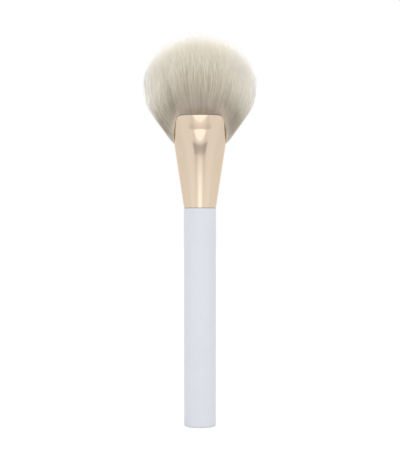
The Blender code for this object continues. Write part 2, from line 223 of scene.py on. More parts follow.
# Half width of the tuft's outline by height, from the notch's bottom up, in mm
FLANK_OUTLINE = [
    (126.1, 10.9),
    (126.7, 12.4),
    (127.3, 13.1),
    (128.3, 13.8),
    (130.2, 15.1),
    (132.9, 17.1),
    (135.6, 19.1),
    (138.3, 21.0),
    (141.0, 23.0),
    (143.7, 24.5),
    (146.4, 25.4),
    (149.1, 25.8),
    (151.8, 25.9),
    (154.5, 25.8),
    (180.0, 25.8),
]

# One strand
STRAND_SIDES = 3
STRAND_RADIUS = 0.000070
RADIUS_SCATTER = (0.75, 1.15)  # from strand to strand
ROOT_RING_DEPTH = 0.0004  # of the lowest ring, in the resin
ROOT_GIRTH = 0.62  # there, as a share of the strand's radius
FREE_START = 0.0005  # below the ferrule's edge, where the strand's other rings start
RING_SHARES = np.array([0.0, 0.10, 0.22, 0.36, 0.50, 0.64, 0.78, 0.90, 1.0])  # of the way to the tip
RING_GIRTHS = np.array([0.80, 0.95, 1.0, 1.0, 0.97, 0.88, 0.72, 0.46, 0.03])
TIP_SPREAD = 0.0055  # how far below the longest strands of a place the shortest end
TIP_POWER = 0.5  # of the random length, which makes short strands more common
TIP_RISE = 0.0010  # how far over the dome the longest end
OWN_BEND = 0.00018  # usual distance by which a tip is bent aside
CLUMP_BEND = 0.00004  # the same, for a whole clump
BEND_POWER = 2  # of the way to the tip, by which strands bend
CLUMP_PULL = 0.03  # of the way to its clump, which a tip is drawn
PULL_POWER = 1.5  # of the way to the tip, by which it is drawn
CLUMP_TONE_SHARE = 0.3  # of a strand's tone, which its clump decides

# Strand map: across, bands from the middle of the tuft to its outline, and the strand's own tone within its
# band. Upwards, the way from root to tip.
FRINGE_BANDS = 32
FRINGE_RING = 6  # whose distance from the outline decides the band
FRINGE_SCATTER = (0.94, 1.06)  # from strand to strand
FRINGE_LIMIT = 0.99
OWN_TONE_SHARE = 0.7  # of a band, which the strand's own tone takes
SIDE_MAP_WIDTH = 0.002
MAP_MARGIN = 0.01
CAP_MAP_HEIGHT = 0.004

# Colours of the filaments by the way from root to tip, in the middle of the tuft and at its outline. The
# outline's are paler with painted light, for the light from behind that shines through the sparse flanks
CORE_COLOURS = [
    (0.10, (0.460, 0.385, 0.300)),
    (0.20, (0.515, 0.450, 0.375)),
    (0.38, (0.565, 0.505, 0.415)),
    (0.50, (0.620, 0.560, 0.460)),
    (0.60, (0.685, 0.615, 0.500)),
    (0.70, (0.755, 0.685, 0.560)),
    (0.81, (0.840, 0.780, 0.645)),
    (0.88, (0.905, 0.860, 0.740)),
    (1.00, (0.940, 0.900, 0.815)),
]
FRINGE_COLOURS = [
    (0.10, (0.600, 0.550, 0.475)),
    (0.20, (0.475, 0.425, 0.352)),
    (0.30, (0.475, 0.430, 0.356)),
    (0.43, (0.670, 0.620, 0.525)),
    (0.50, (0.745, 0.695, 0.605)),
    (0.60, (0.845, 0.795, 0.705)),
    (0.75, (0.935, 0.900, 0.825)),
    (1.00, (0.955, 0.920, 0.850)),
]
# painted light: near-white at the outline, for the light from behind that shines through the thin edge of the
# tuft
OUTERMOST_PAINTED_LIGHT = (0.980, 0.958, 0.920, 1.0)
FRINGE_RANGE = (0.25, 0.85)  # of the way out, over which the outline's colours take over
OUTERMOST_RANGE = (0.80, 0.97)  # of the way out, over which the outermost painted light takes over from them
OUTERMOST_ALONG = (0.40, 0.72)  # of the way from root to tip, over which it does
OWN_TONES = (0.92, 1.11)  # from the darkest strand to the palest
STREAK_SCALE = (60.0, 5.0, 1.0)  # of the streaks over the strand map
STREAK_TONES = (0.94, 1.06)
STREAK_NOISE = (0.25, 0.75)  # which gives those tones


def link(made):
    """Puts a new object in the scene."""
    bpy.context.scene.collection.objects.link(made)
    return made


def smooth_step(value, low, high):
    """0 up to low, 1 from high on, and an S-curve between them. Takes numbers or arrays."""
    share = np.clip((value - low) / (high - low), 0.0, 1.0)
    return share * share * (3 - 2 * share)


def array_mesh(name, points, faces, maps=()):
    """A mesh from an array of points and a list of face arrays, each a row of corner numbers for every face.

    maps has a UV for each corner, in arrays that follow the face arrays.
    """
    mesh = bpy.data.meshes.new(name)
    corners = np.concatenate([rows.reshape(-1) for rows in faces])
    sizes = np.concatenate([np.full(len(rows), rows.shape[1]) for rows in faces])
    starts = np.concatenate([[0], np.cumsum(sizes)[:-1]])
    mesh.vertices.add(len(points))
    mesh.vertices.foreach_set("co", points.astype(np.float32).ravel())
    mesh.loops.add(len(corners))
    mesh.loops.foreach_set("vertex_index", corners.astype(np.int32))
    mesh.polygons.add(len(sizes))
    mesh.polygons.foreach_set("loop_start", starts.astype(np.int32))
    mesh.update(calc_edges=True)
    if maps:
        values = np.concatenate([uvs.reshape(-1, 2) for uvs in maps]).astype(np.float32).ravel()
        for layer_name in ("strand", "OFBake"):
            layer = mesh.uv_layers.new(name=layer_name)
            layer.uv.foreach_set("vector", values)
    mesh.validate()
    return mesh


def ring_quads(ring_count, columns):
    """Faces between each ring of points and the next, and between the last ring and the first."""
    corner = np.arange(ring_count * columns).reshape(ring_count, columns)
    after = np.roll(corner, -1, axis=1)
    quads = np.stack([corner, after, np.roll(after, -1, axis=0), np.roll(corner, -1, axis=0)], axis=2)
    return quads.reshape(-1, 4)


def add_piece(name, mesh, material, slot, *nodes):
    """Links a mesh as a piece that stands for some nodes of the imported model."""
    mesh.shade_smooth()
    mesh.materials.append(material)
    piece = link(bpy.data.objects.new(name, mesh))
    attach(piece, BODY)
    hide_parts(*nodes)


# Materials


class Graph:
    """A node tree and the ways to add nodes to it that are used here."""

    def __init__(self, tree):
        self.tree = tree

    def fill(self, node, inputs):
        """Sets a node's inputs, by name or number, each to a value or to another node's output."""
        for key, value in inputs.items():
            if isinstance(value, bpy.types.NodeSocket):
                self.tree.links.new(value, node.inputs[key])
            else:
                node.inputs[key].default_value = value

    def add(self, kind, inputs, **settings):
        """Adds a node with some inputs and settings, and gives its outputs."""
        node = self.tree.nodes.new(kind)
        for key, value in settings.items():
            setattr(node, key, value)
        self.fill(node, inputs)
        return node.outputs

    def parts(self, vector):
        """The outputs X, Y and Z of a vector."""
        return self.add("ShaderNodeSeparateXYZ", {"Vector": vector})

    def stretched(self, vector, scale):
        """A vector times a scale for each axis."""
        return self.add("ShaderNodeMapping", {"Vector": vector, "Scale": scale})["Vector"]

    def place(self, scale=(1.0, 1.0, 1.0)):
        """Object coordinates, stretched by a scale for each axis."""
        return self.stretched(self.add("ShaderNodeTexCoord", {})["Object"], scale)

    def noise(self, vector, scale):
        """Soft noise about 0.5."""
        inputs = {"Vector": vector, "Scale": scale, "Detail": 3.0, "Roughness": 0.5}
        return self.add("ShaderNodeTexNoise", inputs)["Fac"]

    def ranged(self, value, target, source=(0.0, 1.0)):
        """A value of the source range, moved to the same place in the target range."""
        inputs = {"Value": value}
        inputs["From Min"], inputs["From Max"] = source
        inputs["To Min"], inputs["To Max"] = target
        return self.add("ShaderNodeMapRange", inputs)["Result"]

    def share(self, value, source):
        """How far into the source range a value is, from 0 to 1."""
        return self.ranged(value, (0.0, 1.0), source)

    def ramp(self, value, stops):
        """The colour at a value between stops, which are places with their colours."""
        node = self.tree.nodes.new("ShaderNodeValToRGB")
        elements = node.color_ramp.elements
        while len(elements) < len(stops):
            elements.new(0.5)
        for element, (place, colour) in zip(elements, stops):
            element.position = place
            element.color = (*colour, 1.0)
        self.fill(node, {"Fac": value})
        return node.outputs["Color"]

    def mixed(self, share, first, second):
        """The first colour mixed towards the second by a share."""
        inputs = {"Factor": share, "A": first, "B": second}
        return self.add("ShaderNodeMix", inputs, data_type="RGBA")["Result"]

    def calculated(self, operation, *values):
        """The result of an operation, such as MULTIPLY, on some values."""
        return self.add("ShaderNodeMath", dict(enumerate(values)), operation=operation)["Value"]

    def scaled(self, vector, scale):
        """A vector or a colour times one number."""
        inputs = {"Vector": vector, "Scale": scale}
        return self.add("ShaderNodeVectorMath", inputs, operation="SCALE")["Vector"]

    def bump(self, height, strength, distance):
        """The normal of a surface that is roughened by a height."""
        inputs = {"Height": height, "Strength": strength, "Distance": distance}
        return self.add("ShaderNodeBump", inputs)["Normal"]


def new_material(name):
    """A material, its graph and its Principled shader."""
    material = bpy.data.materials.new(name)
    material.use_nodes = True
    tree = material.node_tree
    return material, Graph(tree), tree.nodes["Principled BSDF"]


def lacquer_material():
    """Satin pale lilac-white lacquer over turned wood."""
    material, graph, shader = new_material("satin_lacquer")
    cloud = graph.noise(graph.place(), scale=90.0)
    peel = graph.noise(graph.place(), scale=1500.0)
    graph.fill(shader, {
        "Base Color": graph.ramp(cloud, LACQUER_COLOURS),
        "Roughness": graph.ranged(cloud, (0.30, 0.40)),
        "Specular IOR Level": 0.15,
        "Coat Weight": 0.05,
        "Coat Roughness": 0.18,
        "Normal": graph.bump(peel, strength=0.25, distance=0.02 * MM),
    })
    return material


def champagne_material():
    """Bright champagne gold anodised aluminium with a faint lengthwise drawing grain, and an orange painted
    reflection of the filaments beside the notches.
    """
    material, graph, shader = new_material("champagne_anodised")
    cloud = graph.noise(graph.place((1.0, 1.0, 0.3)), scale=160.0)
    grain = graph.noise(graph.place((1.0, 1.0, 0.02)), scale=5200.0)
    # share of the orange painted reflection of the filaments, read from the mesh
    painted_reflection = graph.add("ShaderNodeAttribute", {}, attribute_name="painted_notch_reflection")["Fac"]
    graph.fill(shader, {
        "Base Color": graph.mixed(painted_reflection, graph.ramp(cloud, CHAMPAGNE_COLOURS), NOTCH_PAINTED_REFLECTION),
        "Metallic": 1.0,
        "Specular Tint": CHAMPAGNE_SHEEN,
        "Roughness": graph.ranged(grain, (0.09, 0.14)),
        "Normal": graph.bump(grain, strength=0.12, distance=0.01 * MM),
    })
    return material


def resin_material():
    """Set epoxy: pale amber, glossy, a little cloudy with fine bubbles."""
    material, graph, shader = new_material("set_epoxy")
    cloud = graph.noise(graph.place(), scale=400.0)
    bubbles = graph.noise(graph.place(), scale=2600.0)
    graph.fill(shader, {
        "Base Color": graph.ramp(cloud, RESIN_COLOURS),
        "Roughness": graph.ranged(cloud, (0.18, 0.35)),
        "Coat Weight": 0.3,
        "Normal": graph.bump(bubbles, strength=0.4, distance=0.04 * MM),
    })
    return material


def core_colour(graph, out, along, streak):
    """Colour of the filaments in the middle of the tuft, with each strand's own tone and soft streaks."""
    band = graph.calculated("MULTIPLY", out, FRINGE_BANDS)
    own_tone = graph.ranged(graph.calculated("FRACT", band), OWN_TONES)
    patch = graph.ranged(streak, STREAK_TONES, STREAK_NOISE)
    tone = graph.calculated("MULTIPLY", own_tone, patch)
    return graph.scaled(graph.ramp(along, CORE_COLOURS), tone)


def filament_material():
    """Soft tapered filament, taupe at the root and cream at the tip, with painted light that makes it paler
    towards the tuft's outline.
    """
    material, graph, shader = new_material("tapered_filament")
    strand = graph.add("ShaderNodeUVMap", {}, uv_map="strand")["UV"]
    parts = graph.parts(strand)
    out, along = parts["X"], parts["Y"]
    streak = graph.noise(graph.stretched(strand, STREAK_SCALE), scale=1.0)
    core = core_colour(graph, out, along, streak)
    # paler towards the outline with painted light
    colour = graph.mixed(graph.share(out, FRINGE_RANGE), core, graph.ramp(along, FRINGE_COLOURS))
    # painted light from behind, near-white at the outline on the upper part of the strands
    outermost = graph.calculated(
        "MULTIPLY", graph.share(out, OUTERMOST_RANGE), graph.share(along, OUTERMOST_ALONG)
    )
    graph.fill(shader, {
        "Base Color": graph.mixed(outermost, colour, OUTERMOST_PAINTED_LIGHT),
        "Roughness": graph.ranged(streak, (0.42, 0.58)),
        "Specular IOR Level": 0.25,
    })
    return material


def floor_material():
    """Plain matt white paint."""
    material, graph, shader = new_material("studio_floor")
    cloud = graph.noise(graph.place(), scale=12.0)
    graph.fill(shader, {
        "Base Color": graph.ramp(cloud, FLOOR_COLOURS),
        "Roughness": 0.9,
        "Specular IOR Level": 0.1,
        "Emission Color": WHITE,
        "Emission Strength": FLOOR_GLOW,
    })
    return material


# Handle


def arc(centre, radius, start, end, steps):
    """Points along an arc in a plane, from one angle to another, both ends included."""
    angles = np.linspace(start, end, steps + 1)
    return [(centre[0] + radius * math.cos(a), centre[1] + radius * math.sin(a)) for a in angles]


def tenon_side():
    """The grooved side of the tenon as (radius, z), from the shoulder to its chamfer."""
    points = [(TENON_RADIUS, SHOULDER_Z)]
    pitch = TENON_LENGTH / (GROOVE_COUNT + 1)
    for groove in range(1, GROOVE_COUNT + 1):
        middle = SHOULDER_Z + groove * pitch
        points.append((TENON_RADIUS, middle - GROOVE_WIDTH / 2))
        points.append((TENON_RADIUS - GROOVE_DEPTH, middle))
        points.append((TENON_RADIUS, middle + GROOVE_WIDTH / 2))
    points.append((TENON_RADIUS, TENON_TOP_Z - TENON_CHAMFER))
    points.append((TENON_RADIUS - TENON_CHAMFER, TENON_TOP_Z))
    return points


def handle_profile():
    """Half of the handle's lengthwise section as (radius, z). It starts and ends on the axis."""
    quarter = math.pi / 2
    end_centre = (HANDLE_RADIUS - END_FILLET, END_FILLET)
    shoulder_centre = (HANDLE_RADIUS - SHOULDER_FILLET, SHOULDER_Z - SHOULDER_FILLET)
    profile = [(0.0, 0.0)]
    profile += arc(end_centre, END_FILLET, -quarter, 0.0, END_FILLET_STEPS)
    profile += arc(shoulder_centre, SHOULDER_FILLET, 0.0, quarter, SHOULDER_FILLET_STEPS)
    profile += tenon_side()
    profile.append((0.0, TENON_TOP_Z))
    return profile


def lathe_faces(ring_count, columns):
    """Faces between the rings of a lathed shape, and from its end rings to the two points on its axis."""
    sides = ring_quads(ring_count, columns)[:-columns]  # without those from the last ring to the first
    first, last = sides[:columns], sides[-columns:]
    low_point = np.full(columns, ring_count * columns)
    low_fan = np.stack([first[:, 1], first[:, 0], low_point], axis=1)
    high_fan = np.stack([last[:, 3], last[:, 2], low_point + 1], axis=1)
    return [sides, low_fan, high_fan]


def build_handle():
    """The handle's profile, turned round its axis."""
    profile = handle_profile()
    turns = np.arange(HANDLE_SEGMENTS) * math.tau / HANDLE_SEGMENTS
    circle = np.stack([np.cos(turns), np.sin(turns), np.zeros(HANDLE_SEGMENTS)], axis=1)
    rings = [radius * circle + (0.0, 0.0, z) for radius, z in profile[1:-1]]
    axis_points = [(0.0, 0.0, z) for _, z in (profile[0], profile[-1])]
    faces = lathe_faces(len(rings), HANDLE_SEGMENTS)
    mesh = array_mesh("lacquered_handle", np.concatenate([*rings, axis_points]), faces)
    add_piece("lacquered_handle", mesh, lacquer_material(), "lacquered_wood", "handle")
    mesh.set_sharp_from_angle(angle=HANDLE_SHARP_ANGLE)


# Ferrule


def ferrule_half_width(z):
    """A straight cone across X, from the handle's diameter to the mouth's width."""
    return HANDLE_RADIUS + SIDE_SLOPE * (z - FOOT_Z)


def pinch(z):
    """How far the pressing has flattened the cone at this height, from 0 to 1."""
    return smooth_step(z, BELLY_Z, LIP_Z)


def ferrule_half_thickness(z):
    """A cone across Y up to the belly, then bent in evenly to the crease, then a lip that turns in again."""
    cone = HANDLE_RADIUS + CONE_SLOPE * (np.minimum(z, BELLY_Z) - FOOT_Z)
    bent = np.clip(z, BELLY_Z, LIP_Z) - BELLY_Z
    bend = CONE_SLOPE * bent + (CREASE_SLOPE - CONE_SLOPE) * bent**2 / PINCH_LENGTH / 2
    risen = np.maximum(z - LIP_Z, 0)
    turned_in = (RIM_THICKNESS - CREASE_THICKNESS) / 2 - LIP_SLOPE * LIP_LENGTH
    return cone + bend + LIP_SLOPE * risen + turned_in * (risen / LIP_LENGTH) ** LIP_CURL


def ferrule_section(angle, z, inset):
    """The ferrule's cross-section: x and y at an angle and a height, taken in by inset."""
    power = 2 / (2 + (LIP_EXPONENT - 2) * pinch(z))
    across, deep = np.cos(angle), np.sin(angle)
    x = (ferrule_half_width(z) - inset) * np.sign(across) * np.abs(across) ** power
    y = (ferrule_half_thickness(z) - inset) * np.sign(deep) * np.abs(deep) ** power
    return x, y


def notch_outline():
    """Half of the rim seen from the side, as arrays of y and z from the notch's bottom to the level rim."""
    lean_sin, lean_cos = math.sin(NOTCH_LEAN), math.cos(NOTCH_LEAN)
    radii = NOTCH_BOTTOM_RADIUS + RIM_CORNER_RADIUS
    side_length = (NOTCH_DEPTH - radii + radii * lean_sin) / lean_cos
    corner_y = radii * lean_cos + side_length * lean_sin
    bottom_centre = (0.0, NOTCH_Z + NOTCH_BOTTOM_RADIUS)
    corner_centre = (corner_y, RIM_Z - RIM_CORNER_RADIUS)
    bottom = arc(bottom_centre, NOTCH_BOTTOM_RADIUS, -math.pi / 2, -NOTCH_LEAN, NOTCH_ARC_STEPS)
    corner = arc(corner_centre, RIM_CORNER_RADIUS, math.pi - NOTCH_LEAN, math.pi / 2, NOTCH_ARC_STEPS)
    return np.array(bottom + corner).T


def edge_height(y):
    """Height of the ferrule's edge at a distance y from its middle plane."""
    outline_y, outline_z = notch_outline()
    return np.interp(np.abs(y), outline_y, outline_z)


def rim_heights(angles):
    """Height of the trimmed edge in each column of the ferrule, by bisection."""
    low = np.full(len(angles), NOTCH_Z - MM)
    high = np.full(len(angles), RIM_Z + MM)
    for _ in range(BISECTIONS):
        middle = (low + high) / 2
        above = middle > edge_height(ferrule_section(angles, middle, 0.0)[1])
        high = np.where(above, middle, high)
        low = np.where(above, low, middle)
    return low


def ferrule_levels(tops):
    """Heights of the ferrule's rings in each column: alike below the notches, then drawn to the edge."""
    crease = np.minimum(LIP_Z, FORK_Z + CREASE_SHARE * (tops - FORK_Z))
    edge = tops - RIM_FILLET
    cone = np.linspace(FOOT_Z, BELLY_Z, CONE_RINGS, endpoint=False)
    pinched = np.linspace(BELLY_Z, FORK_Z, PINCHED_RINGS)
    rows = [np.full(len(tops), z) for z in (*cone, *pinched)]
    rows += [FORK_Z + (crease - FORK_Z) * share for share in np.linspace(0, 1, CREASE_RINGS + 1)[1:]]
    rows += [crease + (edge - crease) * share for share in np.linspace(0, 1, LIP_RINGS + 1)[1:]]
    return rows


def ferrule_rings(levels, tops):
    """The shell's rings, each its height in every column and its inset.

    They run up the outside, over the edge, down the inside and round the foot.
    """
    turns = np.linspace(0, math.pi / 2, EDGE_RINGS + 1)[1:]
    outer = [(level, 0.0) for level in levels]
    outer += [(tops - RIM_FILLET * (1 - math.sin(a)), RIM_FILLET * (1 - math.cos(a))) for a in turns]
    inner = [(z, FERRULE_WALL - inset) for z, inset in reversed(outer)]
    foot = np.full(len(tops), FOOT_Z - FOOT_OVERHANG)
    return outer + inner + [(foot, FERRULE_WALL), (foot, RIM_FILLET), (foot + RIM_FILLET, 0.0)]


def painted_notch_reflection(y, z):
    """Share of the painted reflection of the filaments at points of the outer face, by how near they are to
    the side of a notch, from 0 to 1.
    """
    outline_y, outline_z = notch_outline()
    distance = np.abs(y) - np.interp(z, outline_z, outline_y)
    reach = REFLECTION_REACH + REFLECTION_EXTRA_REACH * (1 - smooth_step(z, REFLECTION_WIDE_Z, REFLECTION_NARROW_Z))
    near = 1 - smooth_step(distance, REFLECTION_START, reach)
    low_end = smooth_step(z, NOTCH_Z, NOTCH_Z + REFLECTION_LOW_FADE)
    high_end = 1 - smooth_step(z, REFLECTION_NARROW_Z, REFLECTION_NARROW_Z + REFLECTION_HIGH_FADE)
    return near * low_end * high_end


def build_ferrule():
    """A thin pressed shell with rounded edges, trimmed by the side notches."""
    steps = np.arange(FERRULE_COLUMNS) * math.tau / FERRULE_COLUMNS
    angles = steps - COLUMN_CROWDING * np.sin(2 * steps)
    tops = rim_heights(angles)
    levels = ferrule_levels(tops)
    rings = ferrule_rings(levels, tops)
    points = np.concatenate([np.stack([*ferrule_section(angles, z, inset), z], axis=1) for z, inset in rings])
    mesh = array_mesh("champagne_ferrule", points, [ring_quads(len(rings), FERRULE_COLUMNS)])
    # painted reflection of the filaments beside the notches, stored for the metal's colour
    painted_reflection = painted_notch_reflection(points[:, 1], points[:, 2])
    painted_reflection[len(levels) * FERRULE_COLUMNS:] = 0  # over the edge and inside
    mesh.attributes.new("painted_notch_reflection", "FLOAT", "POINT").data.foreach_set("value", painted_reflection)
    add_piece("champagne_ferrule", mesh, champagne_material(), "champagne_aluminium", "ferrule")
    mesh.set_sharp_from_angle(angle=FERRULE_SHARP_ANGLE)


# Tuft


def inner_half_width(z, room):
    """Half of the ferrule's inner width, less some room at the wall."""
    return ferrule_half_width(z) - FERRULE_WALL - room


def inner_half_thickness(z, room):
    """The same for its thickness, which over the rim stays as it is there."""
    return ferrule_half_thickness(np.minimum(z, RIM_Z)) - FERRULE_WALL - room


def running_sum(slopes, step):
    """The integral of slopes along their last axis, from zero."""
    steps = (slopes[..., 1:] + slopes[..., :-1]) / 2 * step
    start = np.zeros(slopes.shape[:-1] + (1,))
    return np.concatenate([start, np.cumsum(steps, axis=-1)], axis=-1)


def flank_slope(z):
    """Slope of the tuft's outline at a height: its half width's growth with height."""
    heights, half_widths = np.array(FLANK_OUTLINE).T * MM
    middles = (heights[1:] + heights[:-1]) / 2
    return np.interp(z, middles, np.diff(half_widths) / np.diff(heights))


def inner_slope(z):
    """Slope by which strands well inside the tuft fan out, as a share of their place across."""
    slope = INNER_SLOPE
    for change, low, high in INNER_BENDS:
        slope = slope - change * smooth_step(z, low, high)
    return slope


class Fan:
    """Paths of strands from the resin to beyond the dome, on one common set of heights.

    x and y are the places of each path at those heights, and outer says how far out they are, from 0 in the
    middle to 1 at the outline. edge is the height at which a path clears the ferrule's edge.
    """

    heights = np.linspace(PATH_START_Z, PATH_END_Z, PATH_LEVELS)
    step = heights[1] - heights[0]

    def __init__(self, across, depth):
        """across is -1 to 1 over the tuft's width, and depth -1 to 1 from its front to its back there."""
        across, depth = across[:, None], depth[:, None]
        deep = depth * np.sqrt(1 - across**2)
        edge = edge_height(deep * inner_half_thickness(LIP_Z, STRAND_ROOM))
        x = self.width_path(across, edge)
        way_out = x / self.width_path(np.ones((1, 1)), np.full((1, 1), NOTCH_Z))
        from_wall = (across**2 + deep**2) ** BULGE_POWER
        stepped = BULGE * from_wall * smooth_step(self.heights, edge - BULGE_START, edge + BULGE_END)
        self.edge = edge[:, 0]
        self.outer = np.abs(way_out)
        self.x = x + stepped * across * (1 - np.abs(across) ** BULGE_SIDE_POWER)
        self.y = self.depth_path(depth, deep, edge, way_out) + stepped * depth

    def width_path(self, across, edge):
        """x at each height: up the ferrule's cone, then out along the fan."""
        flank = across**FLANK_POWER
        leaving = across * SIDE_SLOPE
        fanned = across * (flank * flank_slope(self.heights) + (1 - flank) * inner_slope(self.heights))
        turned_at = edge + TURN_LENGTH + INNER_TURN_LENGTH * (1 - flank)
        freed = smooth_step(self.heights, edge - TURN_START, turned_at)
        start = across * inner_half_width(self.heights[0], STRAND_ROOM)
        return start + running_sum(leaving + freed * (fanned - leaving), self.step)

    def depth_path(self, depth, deep, edge, way_out):
        """y at each height: in a row of the mouth's shape, then in the round of the dome."""
        z = self.heights
        half_thickness = inner_half_thickness(z, STRAND_ROOM)
        slope = FRONT_SLOPE * smooth_step(z, RIM_Z, RIM_Z + FRONT_START) * (1 - smooth_step(z, *FRONT_BEND))
        widened = half_thickness + running_sum(slope, self.step)
        lying = deep * half_thickness
        spread = depth * widened * np.sqrt(np.clip(1 - way_out**2, 0, 1))
        return lying + smooth_step(z, edge, edge + ROUNDING) * (spread - lying)

    def tip_heights(self):
        """Height at which each path leaves the dome."""
        rise = np.clip((self.heights - DOME_Z) / (DOME_TOP_Z - DOME_Z), 0, None)
        outside = (self.x / DOME_HALF_WIDTH) ** 2 + (self.y / DOME_HALF_THICKNESS) ** 2 + rise**2
        outside = np.where(self.heights < LOWEST_TIP_Z, 0, outside)
        first = np.argmax(outside >= 1, axis=1)
        rows = np.arange(len(first))
        over, under = outside[rows, first], outside[rows, first - 1]
        share = (1 - under) / np.maximum(over - under, 1e-9)  # which never divides by zero
        return self.heights[first - 1] + share * self.step

    def at(self, rows, z, *tables):
        """Values of tables, such as x and y, on the paths in some rows, at heights z with a row for each."""
        place = (z - self.heights[0]) / self.step
        low = np.clip(np.floor(place).astype(int), 0, len(self.heights) - 2)
        share = place - low
        rows = np.broadcast_to(rows[:, None], z.shape)
        return [table[rows, low] * (1 - share) + table[rows, low + 1] * share for table in tables]


def scattered(random, count):
    """Places of strands over the tuft, evenly strewn and closer together near its surface."""
    steps = np.arange(count)[:, None] * EVEN_STEPS + random.uniform(0, 1, 2)
    across, depth = (2 * (steps % 1) - 1).T
    across = np.clip(across, -WIDEST_ACROSS, WIDEST_ACROSS)
    return across, depth * (1 + SURFACE_CROWDING - SURFACE_CROWDING * np.abs(depth))


class Clumps:
    """For each strand its nearest clump, which draws it closer and shares its bend and tone."""

    def __init__(self, random, across, depth):
        clump_across, clump_depth = scattered(random, CLUMP_COUNT)
        gaps = (across[:, None] - clump_across) ** 2 + (depth[:, None] - clump_depth) ** 2
        self.nearest = np.argmin(gaps, axis=1)
        self.fan = Fan(clump_across, clump_depth)
        self.tone = random.uniform(0, 1, CLUMP_COUNT)[self.nearest]
        self.bend = random.normal(0, CLUMP_BEND, (CLUMP_COUNT, 2))[self.nearest]

    def at(self, z):
        """x and y of each strand's clump at heights z."""
        return self.fan.at(self.nearest, z, self.fan.x, self.fan.y)


def ring_heights(edge, tip):
    """Heights of every strand's rings: one in the resin, the others from the ferrule's edge to the tip."""
    start = edge - FREE_START
    free = start + (tip - start) * RING_SHARES
    return np.concatenate([np.full((len(edge), 1), ROOT_TOP_Z - ROOT_RING_DEPTH), free], axis=1)


def strand_rings(random, across, depth):
    """Centres of every strand's rings, (strand, ring, xyz), their radii, their way along, and its tone."""
    count = len(across)
    fan = Fan(across, depth)
    clumps = Clumps(random, across, depth)
    edge = fan.edge[:, None]
    tip = (fan.tip_heights() - TIP_SPREAD * random.uniform(0, 1, count) ** TIP_POWER + TIP_RISE)[:, None]
    z = ring_heights(edge, tip)
    along = np.clip((z - edge) / (tip - edge), 0, 1)
    x, y, outer = fan.at(np.arange(count), z, fan.x, fan.y, fan.outer)
    clump_x, clump_y = clumps.at(z)
    pull = CLUMP_PULL * along**PULL_POWER
    bend = (random.normal(0, OWN_BEND, (count, 2)) + clumps.bend)[:, None, :] * (along**BEND_POWER)[..., None]
    x = x + pull * (clump_x - x) + bend[..., 0]
    y = y + pull * (clump_y - y) + bend[..., 1]
    own_tone = (1 - CLUMP_TONE_SHARE) * random.uniform(0, 1, count) + CLUMP_TONE_SHARE * clumps.tone
    fringe = np.clip(outer[:, FRINGE_RING] * random.uniform(*FRINGE_SCATTER, count), 0, FRINGE_LIMIT)
    tone = (np.floor(fringe * FRINGE_BANDS) + OWN_TONE_SHARE * own_tone) / FRINGE_BANDS
    radius = STRAND_RADIUS * random.uniform(*RADIUS_SCATTER, count)
    girths = np.concatenate([[ROOT_GIRTH], RING_GIRTHS])
    return np.stack([x, y, z], axis=2), radius[:, None] * girths, along, tone


def prism_faces(rings):
    """Corner numbers of one strand's side faces, and of its two caps."""
    ring = np.arange(rings - 1)[:, None] * STRAND_SIDES
    side = np.arange(STRAND_SIDES)
    after = (side + 1) % STRAND_SIDES
    above = ring + STRAND_SIDES
    quads = np.stack([ring + side, ring + after, above + after, above + side], axis=2)
    caps = np.stack([side[::-1], (rings - 1) * STRAND_SIDES + side])
    return quads.reshape(-1, 4), caps


def prism_maps(along, tone):
    """UVs on the strand map of every strand's side faces, and of its two caps."""
    level = MAP_MARGIN + (1 - 2 * MAP_MARGIN) * along
    ring, side = np.divmod(np.arange((along.shape[1] - 1) * STRAND_SIDES), STRAND_SIDES)
    quad_u = tone[:, None, None] + SIDE_MAP_WIDTH * np.stack([side, side + 1, side + 1, side], axis=1)
    quad_v = level[:, np.stack([ring, ring, ring + 1, ring + 1], axis=1)]
    cap_u = tone[:, None, None] + SIDE_MAP_WIDTH * np.tile(np.arange(STRAND_SIDES), (2, 1))
    peak = np.array([0, CAP_MAP_HEIGHT, 0])  # in the middle of a cap's corners
    cap_v = np.stack([level[:, :1] + peak, level[:, -1:] - peak], axis=1)
    return [np.stack([quad_u, quad_v], axis=3), np.stack([cap_u, cap_v], axis=3)]


def strand_prisms(random, centres, radii, along, tone):
    """Points, faces and maps of the strands, which are closed tapering prisms round their rings' centres."""
    count, rings = radii.shape
    turns = random.uniform(0, math.tau, count)[:, None] + np.arange(STRAND_SIDES) * math.tau / STRAND_SIDES
    sides = np.stack([np.cos(turns), np.sin(turns), np.zeros_like(turns)], axis=2)
    points = centres[:, :, None, :] + radii[:, :, None, None] * sides[:, None, :, :]
    first = np.arange(count)[:, None, None] * rings * STRAND_SIDES
    faces = [(first + corners).reshape(-1, corners.shape[1]) for corners in prism_faces(rings)]
    return points.reshape(-1, 3), faces, prism_maps(along, tone)


def root_slab(low_depth, high_depth):
    """Points, faces and maps of a slice of the resin-set roots between two shares of the depth."""
    depths = np.linspace(low_depth, high_depth, SLAB_SIDE_POINTS)
    chord = np.sqrt(1 - depths**2)
    outline = np.concatenate([np.stack([chord, depths], 1), np.stack([-chord, depths], 1)[::-1]])
    points = []
    for z in (ROOT_Z, ROOT_TOP_Z):
        x = outline[:, 0] * inner_half_width(z, SLAB_ROOM)
        y = outline[:, 1] * inner_half_thickness(z, SLAB_ROOM)
        points.append(np.stack([x, y, np.full(len(x), z)], axis=1))
    count = len(outline)
    step = np.arange(count)
    after = (step + 1) % count
    band = np.stack([step, after, after + count, step + count], axis=1)
    caps = np.stack([step[::-1], step + count])
    return np.concatenate(points), [band, caps], slab_maps(count)


def slab_maps(count):
    """UVs of a slab's band of faces, all on one square, and of its two caps, on one circle."""
    square = SLAB_MAP_CORNER + SLAB_MAP_SIZE * np.array([[0, 0], [1, 0], [1, 1], [0, 1]])
    turns = np.arange(count) * math.tau / count
    centre = SLAB_MAP_CORNER + np.array([0, SLAB_MAP_SIZE])
    circle = centre + SLAB_MAP_SIZE * np.stack([np.cos(turns), np.sin(turns)], axis=1)
    return [np.broadcast_to(square, (count, 4, 2)), np.stack([circle, circle])]


